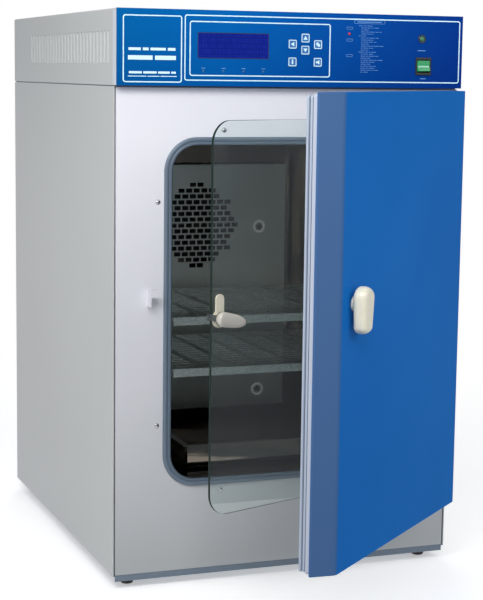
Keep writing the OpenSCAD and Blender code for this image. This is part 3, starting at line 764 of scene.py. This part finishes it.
def make_door():
    low, high = shut_box("door_skin", DOOR)
    sheet, cut_past = 1.2, 5
    outer = prism(door_outline(low, high, 0, 14), low.z, high.z)
    inner_plan = [(x, y + cut_past if y > high.y - 0.1 else y)
                  for x, y in door_outline(low, high, sheet, 13)]
    inner = prism(inner_plan, low.z + sheet, high.z - sheet)
    shell = piece("door_shell", hollowed(outer, inner), "outer_door", "door_blue", ["door_skin"],
                  DOOR, round_by=0.7, smooth=30)
    mark_bends(shell, DOOR)

    low, high = shut_box("door_trim", DOOR)
    loop = frame_of(low, high, 5)
    band = [(0, -24.9), (0, -15), (-0.8, -14), (-3.2, -13.6), (-3.4, -12.2), (-19.6, -12.2),
            (-20.4, -13.2), (-21, -15), (-21, -24.9)]
    piece("door_trim_frame", ring(loop, band), "outer_door", "trim_white", ["door_trim"], DOOR)

    low, high = shut_box("door_gasket", DOOR)
    loop = frame_of(low, high, 5)
    lips = [(-0.6, -12), (0, -11), (0, -8.4), (-1.0, -7.6), (-3, -7.3), (-3, -5.8), (-1.0, -5.3),
            (0, -4.6), (0, -1.6), (-1.2, -0.5), (-8, -0.4), (-9, -1.0), (-10, -0.4), (-16.6, -0.5),
            (-18, -1.6), (-18, -4.6), (-16.8, -5.3), (-15, -5.8), (-15, -7.3), (-17, -7.6),
            (-18, -8.4), (-18, -11), (-17.4, -12)]
    piece("door_seal", ring(loop, lips), "outer_door", "gasket_white", ["door_gasket"], DOOR)
    seal_groove = [(-2.7, -7.2), (-2.7, -5.9), (-3.4, -5.9), (-3.4, -7.2)]
    trim_groove = [(-0.9, -13.4), (-0.9, -12.1), (-1.9, -12.1), (-1.9, -13.4)]
    for name, shadow in (("door_seal_groove", seal_groove), ("door_trim_groove", trim_groove)):
        piece(name, ring(loop, shadow), "outer_door", "gasket_white", (), DOOR,
              EXTRA["groove_shadow"])
    make_handle()


def make_handle():
    """Moulded pull: wide at the top, tapering to a blunt toe, with a shallow groove."""
    low, high = shut_box("door_handle", DOOR)
    centre = (low.x + high.x) / 2
    face = shut_box("door_skin", DOOR)[0].y
    height = high.z - low.z
    rows, tip = 32, 0.03
    toe_share, top_share = 0.15, 0.24
    sections = []
    for k in range(rows + 1):
        t = (1 - math.cos(math.pi * k / rows)) / 2
        toe = math.sqrt(max(0.0, 1 - (1 - min(t / toe_share, 1)) ** 2))
        top = math.sqrt(max(0.0, 1 - (1 - min((1 - t) / top_share, 1)) ** 2))
        end = max(tip, min(toe, top))
        half = (15.8 + 8.2 * t ** 0.7) * max(tip, toe) * max(tip, top)
        front = face - 12 - (19.6 + 2.2 * t) * (0.3 + 0.7 * end)
        rear = face - 5.4 - 7.5 * (1 - end)
        ring_points = []
        for angle in turns(48):
            c, s = math.cos(angle), math.sin(angle)
            soft = 0.7 if s < 0 else 0.45
            x = half * squarish(c, soft)
            y = (front + rear) / 2 + (rear - front) / 2 * squarish(s, soft)
            if s < 0:
                y += 2.4 * math.exp(-(x / 5.5) ** 2) * math.sin(math.pi * min(1, t / 0.9))
            ring_points.append((centre + x, y, low.z + height * t))
        sections.append(ring_points)
    piece("door_pull", lofted(sections), "outer_door", "cream", ["door_handle"], DOOR, smooth=60)
    neck = [(0.1, 0), (13.4, 0), (13.4, -0.9), (12.6, -1.8), (12.4, -3.4), (12.6, -6.5),
            (0.1, -6.5)]
    piece("door_pull_neck", turned(neck, (centre, face, high.z - 31)), "outer_door", "cream", (),
          DOOR)


# ---- glass door ----------------------------------------------------------------------------------

def make_glass():
    low, high = shut_box("glass_pane", GLASS)
    outline = [(high.x, high.z), (high.x, low.z)]
    radius = 42
    outline += arc((low.x + radius, low.z + radius), radius, 270, 180, 16)
    outline += arc((low.x + radius, high.z - radius), radius, 180, 90, 16)
    hub = (LATCH_HUB.x, LATCH_HUB.z)
    shape = plate([outline, circle(*hub, 4.1, 24)], low.y, high.y, 0.8)
    pane = piece("glass_door_pane", shape, "glass_door", "glass", ["glass_pane"], GLASS,
                 smooth=30)
    pane.data.materials.append(EXTRA["glass_edge"])
    sideways = (GLASS.to_3x3() @ Vector((0, 1, 0))).normalized()
    for polygon in pane.data.polygons:
        if abs(polygon.normal.dot(sideways)) < 0.5:
            polygon.material_index = 1

    face = low.y
    x, z = hub
    rose = [(4.05, 0), (16.9, 0), (16.9, -1.1), (15.4, -2.0), (14.2, -1.5), (13.2, -2.3),
            (12.6, -4.2), (4.05, -4.6)]
    piece("latch_rose", turned(rose, (x, face, z)), "glass_door", "cream", ["latch_rosette"], GLASS)
    half = 9.8
    side = [(x - half, z + 12)] + arc((x, z + 36), half, 180, 0, 16) + [(x + half, z + 12)]
    back_plate = plate([side[::-1]], face - 3.6, face - 0.02, 0.9)
    piece("latch_back_plate", back_plate, "glass_door", "cream", (), GLASS)
    make_lever(x, z)


def make_lever(x, z):
    """Oval moulded lever: a round hub that flows into a flattened, tapering blade."""
    hub_radius, reach, front = 14, 54.0, -32.6
    rows = 32
    sections = []
    for k in range(rows + 1):
        u = -hub_radius + (reach + hub_radius) * (1 - math.cos(math.pi * k / rows)) / 2
        if u < 0:
            half = math.sqrt(max(0.3, hub_radius ** 2 - u ** 2))
        else:
            share = u / reach
            half = (hub_radius - 1.4 * share) * math.sqrt(max(0.003, 1 - share ** 3.6))
        thick = (6.6 - 1.4 * min(1, max(0, u) / 44)) * min(1.0, 0.2 + half / 11)
        centre = -25.8 - 0.7 * max(0, u) / 50
        ring_points = []
        for angle in turns(40):
            v = half * squarish(math.cos(angle), 0.85)
            y = centre + thick * squarish(math.sin(angle), 0.85)
            ring_points.append((x + u, max(y, front), z + v))
        sections.append(ring_points)
    # The lever wears the darker copy of the cream: painted shade.
    cream = EXTRA["lever_shaded_cream"]
    piece("latch_handle", lofted(sections), "latch", "cream", ["latch_lever"], LATCH, cream, 60)
    stem = [(0.1, -6.4), (3.95, -6.4), (3.95, -19.2), (12.4, -19.3), (12.8, -20.2),
            (12.0, -23.5), (0.1, -23.5)]
    piece("latch_stem", turned(stem, (x, 0, z)), "latch", "cream", (), LATCH, cream)


# ---- cabinet -------------------------------------------------------------------------------------

def make_front():
    low, high = flat_box("front_panel")
    seal_low, seal_high = flat_box("chamber_seal")
    cx = (seal_low.x + seal_high.x) / 2
    cz = (seal_low.z + seal_high.z) / 2
    mouth = loop_about(cx, cz, *MOUTH_HALF, MOUTH_RADIUS, 16)
    screws = [
        (cx + i * dx, cz + j * dz)
        for dx, dz in SCREW_OFFSETS for i in (-1, 1) for j in (-1, 1)
    ]
    outlines = [corners_of(frame_of(low, high, 1.5, 4)), corners_of(mouth)]
    outlines += [circle(x, z, 2.3, 16) for x, z in screws]
    hem = [(0, 1.2), (0, 7.6), (-1.4, 7.6), (-1.4, 1.2)]
    face = joined(plate(outlines, 0, 1.5, 0.5), ring(frame_of(low, high, 2.0, 4), hem))
    piece("front_face", face, "cabinet", "front_paint", ["front_panel"])

    half_x, half_z = MOUTH_HALF
    clear = loop_about(cx, cz, half_x - SEAL_LAP, half_z - SEAL_LAP, MOUTH_RADIUS - SEAL_LAP, 16)
    outer_bead = [(7.5, -0.02), (7.5, -3.7), (8.4, -4.6), (10.0, -5.6), (12.6, -5.9), (14.6, -5.2),
                  (15.7, -3.8), (16, -2.0), (16, -0.02)]
    inner_bead = [(1.4, 0), (1.4, -4.9), (2.6, -5.5), (5.0, -5.4), (6.6, -4.4), (7.4, -3.6),
                  (7.4, 0)]
    edge_bead = [(0, 0), (0, -3.0), (0.6, -4.3), (1.3, -4.8), (1.3, 0)]
    lip = [(7.5, -0.2), (9.6, -0.2), (9.6, 11.8), (7.5, 11.8)]
    # Outer bead: painted highlight in a lighter copy of the seal rubber. Lip and edge bead: painted shade in a
    # dark copy.
    piece("mouth_seal", ring(clear, outer_bead), "cabinet", "seal_rubber", ["chamber_seal"],
          material=EXTRA["seal_painted_highlight"])
    piece("mouth_seal_bead", ring(clear, inner_bead), "cabinet", "seal_rubber")
    piece("mouth_seal_lip", joined(ring(clear, edge_bead), ring(clear, lip)), "cabinet",
          "seal_rubber", material=EXTRA["seal_painted_shade"])

    dome = [(0.05, -2.4), (1.9, -2.3), (3.6, -1.7), (4.6, -0.9), (5.0, -0.05), (5.0, 0), (0.05, 0)]
    heads = [turned(dome, (x, 0, z), steps=24) for x, z in screws]
    piece("dome_screws", joined(*heads), "cabinet", "screw_steel", ["panel_screws"])
    return cx, cz


def make_chamber(cx, cz):
    sheet = 1.2
    half_x, half_z = MOUTH_HALF
    loop = loop_about(cx, cz, half_x, half_z, MOUTH_RADIUS, 24)
    wall = [(0, 1.6), (14, 1.6), (14, 3), (sheet, 3), (sheet, CHAMBER_BACK), (0, CHAMBER_BACK)]
    edge = loop_about(cx, cz, half_x + sheet, half_z + sheet, MOUTH_RADIUS + 1, 16)
    shaft_hole = circle(336, 664, 9, 32)
    back = plate([corners_of(edge), shaft_hole], CHAMBER_BACK, CHAMBER_BACK + sheet, 0.2)
    piece("chamber_walls", joined(ring(loop, wall), back), "cabinet", "chamber_steel", ["chamber"],
          smooth=20)


def make_ports():
    """Sensor ports: a ringed collar round a dark perforated disc; the collar and studs are painted near-white with
    a faint glow, as painted glints.
    """
    collar = [(9.4, 2.0), (9.4, -0.6), (10.6, -2.4), (13.0, -2.9), (14.6, -1.8), (15.0, 0),
              (15.0, 2.0)]
    disc = [(2.6, 3.0), (2.6, -0.9), (4.2, -1.3), (5.0, -0.2), (9.8, 0.0), (9.8, 3.0)]
    stud = [(0.05, -1.5), (1.0, -1.4), (1.5, -0.7), (1.5, 0.4), (0.05, 0.4)]
    collar_profile = [(radius, DUCT_FACE + along) for radius, along in collar]
    x, stud_circle = 485, 7.2
    collars, discs, studs = [], [], []
    for z in (659, 282):
        middle = [((x, z), (math.cos(a), math.sin(a))) for a in turns(40)]
        collars.append(ring(middle, collar_profile))
        discs.append(turned(disc, (x, DUCT_FACE, z), steps=36))
        for i in range(6):
            angle = math.radians(60 * i + 15)
            centre = (x + stud_circle * math.cos(angle), DUCT_FACE,
                      z + stud_circle * math.sin(angle))
            studs.append(turned(stud, centre, steps=12))
    piece("port_discs", joined(*discs), "cabinet", "port_plastic", ["sensor_ports"])
    piece("port_collars", joined(*collars, *studs), "cabinet", "port_plastic",
          material=EXTRA["port_painted_glint"])


def make_feet():
    low, high = flat_box("feet")
    radius = 13
    profile = [(0.1, 0), (8.5, 0), (11, 0.9), (12.6, 2.8), (radius, 5), (radius, 8.6), (12.5, 9.4),
               (radius, 10.2), (radius, 13.6), (12, 15.4), (9, 16.4), (8.2, 18), (8.2, 26),
               (0.1, 26)]
    feet = [
        turned(profile, (x, y, 0), "z", 36)
        for x in (low.x + radius, high.x - radius) for y in (low.y + radius, high.y - radius)
    ]
    piece("feet_barrels", joined(*feet), "cabinet", "feet_rubber", ["feet"])


def make_rear_screws():
    """Screw heads down both sides of the two rear panels."""
    dome = [(0.05, 0), (4.0, 0), (4.0, 0.2), (3.4, 1.1), (2.2, 1.8), (0.05, 2.1)]
    side_gap, end_gap = 14, 16
    heads = []
    for node, rows in (("rear_panel", 5), ("control_rear_panel", 2)):
        low, high = flat_box(node)
        for x in (low.x + side_gap, high.x - side_gap):
            for k in range(rows):
                z = low.z + end_gap + (high.z - low.z - 2 * end_gap) * k / (rows - 1)
                heads.append(turned(dome, (x, high.y, z), steps=20))
    piece("rear_screws", joined(*heads), "cabinet", "screw_steel")


# ---- control box ---------------------------------------------------------------------------------

def shell_section(low, high, inset, radius):
    """One side of the cover's sheet in x and z: an arch with two rounded top corners."""
    x0, x1, top = low.x + inset, high.x - inset, high.z - inset
    left = arc((x0 + radius, top - radius), radius, 180, 90, 5)
    right = arc((x1 - radius, top - radius), radius, 90, 0, 5)
    return [(x0, low.z), *left, *right, (x1, low.z)]


def make_shell():
    low, high = flat_box("control_shell")
    sheet = 1.5
    outer = shell_section(low, high, 0, 3.5)
    outline = outer + shell_section(low, high, sheet, 2)[::-1]
    points, faces = sleeve([[(x, y, z) for x, z in outline] for y in (low.y, high.y)])
    n = len(outline)
    for base in (0, n):
        faces += [
            (base + i, base + i + 1, base + n - 2 - i, base + n - 1 - i)
            for i in range(len(outer) - 1)
        ]

    first, pitch, width = 34, 25, 12
    slots, vanes = [], []
    for i in range(26):
        y = first + pitch * i
        slots.append(brick((low.x - 5, y, 1020), (high.x + 5, y + width, 1081)))
        for x, way in ((low.x + sheet, 1), (high.x - sheet, -1)):
            outer_x, inner_x = x - way * 0.9, x + way * 6.0
            vane = [(outer_x, y + width), (inner_x, y + 4.5), (inner_x, y + 3.3),
                    (outer_x, y + width - 1.2)]
            vanes.append(prism(vane, 1020.5, 1080.5))
    shape = hollowed((points, faces), joined(*slots))
    piece("control_cover", shape, "cabinet", "cabinet_paint", ["control_shell"], smooth=30)
    piece("control_vanes", joined(*vanes), "cabinet", "cabinet_paint", smooth=30)
    # Pale strips down the front of the cover's sides: a painted reflection.
    edges = [
        brick((x - 0.35, low.y + 0.3, low.z + 1), (x + 0.35, low.y + 24, high.z - 3.5))
        for x in (low.x + 0.2, high.x - 0.2)
    ]
    piece("cover_side_reflections", joined(*edges), "cabinet", "cabinet_paint", material=EXTRA["pale_side_reflection"])
    baffles = [
        brick((x - 0.3, 30, 1015), (x + 0.3, 680, 1086))
        for x in (low.x + 9, high.x - 9)
    ]
    piece("louvre_baffles", joined(*baffles), "cabinet", "cabinet_paint",
          material=EXTRA["baffle"], round_by=0.1)


def rounded_frame(x0, z0, x1, z1, width, radius):
    """A printed frame line of even width."""
    front = FASCIA_FACE - PRINT_DEPTH
    profile = [(0, FASCIA_FACE), (0, front), (-width, front), (-width, FASCIA_FACE)]
    return ring(rounded_loop(x0, z0, x1, z1, radius, 6), profile)


def make_prints():
    """Frame lines and plain bars where a maker prints its labels. There is no lettering."""
    frames = joined(
        rounded_frame(12, 985, 128, 1110, 2.1, 5),
        rounded_frame(133, 989, 714, 1112.5, 2.1, 5),
        rounded_frame(143, 998, 432, 1101, 2.1, 5),
    )
    # The bottom and top of each row of bars, then where each bar starts and ends.
    words = {
        (1044.5, 1049.5): (23, 47, 51, 62, 66, 96, 100, 115),
        (1027.0, 1035.0): (22, 70, 75, 116),
        (1001.5, 1005.5): (24, 49, 52, 78, 81, 104, 107, 116),
        (995.8, 997.2): (22, 58, 60, 84, 86, 118),
    }
    bars = [
        strip(x0, z0, x1, z1)
        for (z0, z1), ends in words.items() for x0, x1 in zip(ends[::2], ends[1::2])
    ]
    piece("fascia_lines", joined(frames, *bars), "cabinet", "fascia_blue",
          material=EXTRA["print_and_highlight_white"])

    notes = []
    words_in_row = (3, 4, 2, 5, 3, 2, 4)
    widths = (9.0, 5.5, 12.0, 7.0, 4.0, 10.0)
    headings, indent, line_height, gap = (0, 5, 13), 5, 3.9, 1.6
    for k in range(24):
        z = 1098.5 - line_height * k
        x = 492 + (0 if k in headings else indent)
        for word in range(words_in_row[k % 7]):
            width = widths[(2 * k + word) % 6]
            notes.append(strip(x, z, x + width, z + 0.85))
            x += width + gap
    for z in (1094, 1071, 1041):
        notes.append(rounded_frame(466, z - 2.4, 479, z + 2.4, 0.6, 1.2))
    for x in LAMP_X:
        notes.append(strip(x - 4, LAMP_Z + 5, x + 4, LAMP_Z + 6.2))
    notes.append(strip(621, 1052, 638, 1053.6))
    notes.append(strip(628, 997, 640, 998.4))
    notes.append(rounded_frame(482, 1103.0, 548, 1110.0, 0.7, 2))
    notes.append(strip(489, 1105.6, 541, 1107.2))
    piece("fascia_notes", joined(*notes), "cabinet", "fascia_blue", material=EXTRA["print_soft"])

    # A dark frame inside the display's cut-out: painted shadow of the recess.
    rim = [(0, -17.5), (0, -18.05), (-1.4, -18.05), (-1.8, -17.5)]
    edge = ring(frame_of(*flat_box("display_window"), 0.8, 3), rim)
    piece("display_recess_shadow", edge, "cabinet", "black_plastic", material=EXTRA["display_recess_shade"])


def make_keys():
    signs = {
        "key_left": [[(-4, 0), (3, 4.2), (3, -4.2)]],
        "key_up": [[(0, 4), (4.2, -3), (-4.2, -3)]],
        "key_down": [[(0, -4), (-4.2, 3), (4.2, 3)]],
        "key_right": [circle(-1, 1, 3.2, 12), [(-0.5, -4), (4.2, -4), (4.2, 1), (-0.5, 1)]],
        "key_set": [[(-1.5, -4.2), (1.5, -4.2), (1.5, 2), (-1.5, 2)], circle(0, 3.6, 1.5, 10)],
        "key_mute": [[(-4, -1.6), (-1, -1.6), (-1, 1.6), (-4, 1.6)],
                     [(-1, -1.6), (3.4, -4.2), (3.4, 4.2), (-1, 1.6)]],
    }
    for node, outlines in signs.items():
        low, high = flat_box(node)
        cx, cz, y = (low.x + high.x) / 2, (low.z + high.z) / 2, low.y
        cap = plate([corners_of(loop_about(cx, cz, 8.8, 8.8, 2.6, 6))], y, -15.6, 0.7)
        base = plate([corners_of(loop_about(cx, cz, 10, 10, 1.5, 3))], -15.7, -13, 0.2)
        piece(node + "_cap", joined(cap, base), node, "key_face", [node])
        front, rear = y - 0.1, y + 0.05
        rim = ring(loop_about(cx, cz, 8.2, 8.2, 2.3, 6),
                   [(0, rear), (0, front), (-1.5, front), (-1.5, rear)])
        marks = [
            slab([(cx + px, cz + pz) for px, pz in outline], front, rear)
            for outline in outlines
        ]
        piece(node + "_mark", joined(rim, *marks), node, "key_face",
              material=EXTRA["print_and_highlight_white"])


def make_lamps():
    dome = [(0.05, -1.0), (1.2, -0.85), (2.0, -0.4), (2.4, 0.2), (2.4, 5.5), (0.05, 5.5)]
    small = [turned(dome, (x, FASCIA_FACE, LAMP_Z), steps=20) for x in LAMP_X]
    piece("small_lamps", joined(*small), "cabinet", "lamp_green", ["status_lamps"],
          material=EXTRA["lamp_off"])
    bigger = [(radius * 1.2, along * 1.2) for radius, along in dome]
    piece("red_lamp", turned(bigger, (472, FASCIA_FACE, 1083), steps=20), "cabinet", "lamp_green",
          ["alarm_lamp"], material=EXTRA["lamp_red"])
    low, high = flat_box("power_lamp")
    cx, cz = (low.x + high.x) / 2, (low.z + high.z) / 2
    centre = (cx, FASCIA_FACE, cz)
    collar = [(5.4, -1.2), (7.2, -1.8), (8.0, -1.2), (8.0, 5.5), (5.4, 5.5)]
    piece("green_lamp_collar", turned(collar, centre, steps=32), "cabinet", "black_plastic")
    lens = [(0.05, -4.0), (2.2, -3.8), (4.0, -3.0), (5.2, -1.6), (5.4, -0.4), (5.4, 3), (0.05, 3)]
    piece("green_lamp_lens", turned(lens, centre, steps=32), "cabinet", "lamp_dome",
          ["power_lamp"])


def make_switch():
    low, high = flat_box("switch_bezel")
    edge = frame_of(low, high, 2.5, 5)
    opening = frame_of(low, high, 1.2, 4, inset=(3.2, 4.7))
    face = plate([corners_of(edge), corners_of(opening)], -20, -18, 0.7)
    tube = ring(frame_of(low, high, 1.5, 4, inset=(1.5, 1.3)),
                [(0, -18.2), (0, 0), (-1.6, 0), (-1.6, -18.2)])
    floor = brick((low.x + 2, -2, low.z + 2), (high.x - 2, 0, high.z - 2))
    piece("switch_surround", joined(face, tube, floor), "cabinet", "black_plastic",
          ["switch_bezel"])

    joint = JOINTS["power_rocker_tilt"]
    pivot = millimetres(joint["pos_m"])
    tilt = math.radians(8)
    section = [(6, -10.6), (-7.2, -10.6), (-9.0, -9.9), (-7.6, -5), (-6.2, 0), (-7.6, 5),
               (-9.0, 9.9), (-7.2, 10.6), (6, 10.6)]
    outline = []
    for y, z in section:
        turn_y = y * math.cos(tilt) + z * math.sin(tilt)
        turn_z = z * math.cos(tilt) - y * math.sin(tilt)
        outline.append((pivot.y + turn_y, pivot.z + turn_z))
    cap = lofted([[(pivot.x + dx, y, z) for y, z in outline] for dx in (-13.3, 13.3)])
    piece("rocker_cap", cap, "power_rocker", "rocker_green", ["power_rocker"], round_by=0.6,
          smooth=30)
    # A pale bar across the rocker's middle: a painted highlight where the cap bends.
    rocker_highlight_bar = brick(pivot + Vector((-11.5, -6.9, -1.4)), pivot + Vector((11.5, -5.5, 0.2)))
    piece("rocker_painted_highlight", rocker_highlight_bar, "power_rocker", "rocker_green", material=EXTRA["print_and_highlight_white"],
          round_by=0.3)


# ---- build ---------------------------------------------------------------------------------------

OWN_LOOK = {"duct_panel": "duct_face", "fan_impeller": "fan_dark", "latch_cam": "cam_steel"}
for node, obj in NODES.items():
    for slot in obj.material_slots:
        slot.material = EXTRA[OWN_LOOK[node]] if node in OWN_LOOK else MATERIALS[SLOT_OF[node]]

set_camera()
set_stage()
make_door()
make_glass()
middle_x, middle_z = make_front()
make_chamber(middle_x, middle_z)
make_ports()
make_feet()
make_rear_screws()
make_shell()
make_prints()
make_keys()
make_lamps()
make_switch()
bpy.context.scene.view_settings.view_transform = "Standard"
